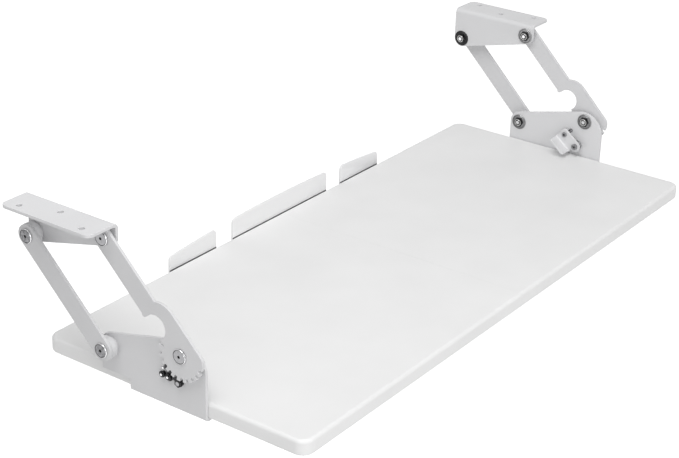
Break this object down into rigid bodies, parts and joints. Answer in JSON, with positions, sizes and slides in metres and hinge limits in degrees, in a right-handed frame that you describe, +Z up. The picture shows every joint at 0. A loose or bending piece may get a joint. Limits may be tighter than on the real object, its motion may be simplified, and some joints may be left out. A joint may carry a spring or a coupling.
{
  "type": "keyboard tray under desk",
  "caption": "Flat keyboard tray that hangs under a desk on parallel-arm brackets with toothed sectors, spring release levers and a low rear stop.",
  "frame": {"origin": "centre of the four outer desk screw holes, in the plane of the desk's underside", "axes": "+X to the user's right, +Y away from the user, +Z up"},
  "size_m": [0.7516, 0.3015, 0.1575],
  "materials": {
    "board": "smooth warm white laminate",
    "bracket": "silver grey powder coat",
    "arm": "silver grey powder coat",
    "stop": "pale grey powder coat",
    "bolt": "polished",
    "spacer": "satin",
    "nut": "zinc plated",
    "washer": "dull zinc",
    "screw": "zinc plated",
    "lever": "brushed",
    "pawl": "satin zinc",
    "spring": "dark spring wire",
    "dowel": "bare beech",
    "joiner": "zinc plated"
  },
  "bodies": {
    "desk_brackets": {"left_desk_bracket": "bracket", "left_upper_front_bolt": "bolt", "left_upper_rear_bolt": "bolt", "left_upper_front_spacer": "spacer", "left_upper_rear_spacer": "spacer", "left_upper_washers": "washer", "left_upper_nuts": "nut", "right_desk_bracket": "bracket", "right_upper_front_bolt": "bolt", "right_upper_rear_bolt": "bolt", "right_upper_front_spacer": "spacer", "right_upper_rear_spacer": "spacer", "right_upper_washers": "washer", "right_upper_nuts": "nut"},
    "front_arms": {"left_front_arm": "arm", "right_front_arm": "arm"},
    "rear_arms": {"left_rear_arm": "arm", "right_rear_arm": "arm"},
    "tray": {"left_board": "board", "right_board": "board", "rear_stop": "stop", "rear_stop_screws": "screw", "joiner_plates": "joiner", "joiner_screws": "screw", "dowels": "dowel", "left_base_bracket": "bracket", "left_lower_front_bolt": "bolt", "left_lower_rear_bolt": "bolt", "left_lower_front_spacer": "spacer", "left_lower_rear_spacer": "spacer", "left_lower_washers": "washer", "left_lower_nuts": "nut", "left_base_screws": "screw", "left_lever_pivot": "screw", "left_lever_pivot_nut": "nut", "left_spring_stud": "bolt", "left_pawl_spring": "spring", "right_base_bracket": "bracket", "right_lower_front_bolt": "bolt", "right_lower_rear_bolt": "bolt", "right_lower_front_spacer": "spacer", "right_lower_rear_spacer": "spacer", "right_lower_washers": "washer", "right_lower_nuts": "nut", "right_base_screws": "screw", "right_lever_pivot": "screw", "right_lever_pivot_nut": "nut", "right_spring_stud": "bolt", "right_pawl_spring": "spring"},
    "left_release": {"left_release_lever": "lever", "left_lever_sleeve": "spacer", "left_lever_screw": "screw", "left_ratchet_pawl": "pawl", "left_pawl_rivet": "bolt"},
    "right_release": {"right_release_lever": "lever", "right_lever_sleeve": "spacer", "right_lever_screw": "screw", "right_ratchet_pawl": "pawl", "right_pawl_rivet": "bolt"}
  },
  "joints": [
    {"name": "arm_swing", "type": "hinge", "parent": "desk_brackets", "child": "front_arms", "pos_m": [0, -0.04175, -0.0136], "axis": [1, 0, 0], "range_deg": [-33, 116]},
    {"name": "tray_level", "type": "hinge", "parent": "front_arms", "child": "tray", "pos_m": [0, -0.12591, -0.09631], "axis": [1, 0, 0], "range_deg": [-116, 33]},
    {"name": "rear_arm_swing", "type": "hinge", "parent": "desk_brackets", "child": "rear_arms", "pos_m": [0, 0.0417, -0.0344], "axis": [1, 0, 0], "range_deg": [-33, 116]},
    {"name": "left_lever_press", "type": "hinge", "parent": "tray", "child": "left_release", "pos_m": [-0.3403, -0.12091, -0.12511], "axis": [1, 0, 0], "range_deg": [-8, 0], "stiffness_Nm_per_rad": 0.3, "springref_deg": 11.46, "deforming": ["left_pawl_spring"]},
    {"name": "right_lever_press", "type": "hinge", "parent": "tray", "child": "right_release", "pos_m": [0.3403, -0.12091, -0.12511], "axis": [1, 0, 0], "range_deg": [-8, 0], "stiffness_Nm_per_rad": 0.3, "springref_deg": 11.46, "deforming": ["right_pawl_spring"]}
  ],
  "couplings": [
    {"joint": "tray_level", "follows": "arm_swing", "ratio": -1},
    {"joint": "rear_arm_swing", "follows": "arm_swing", "ratio": 1}
  ]
}
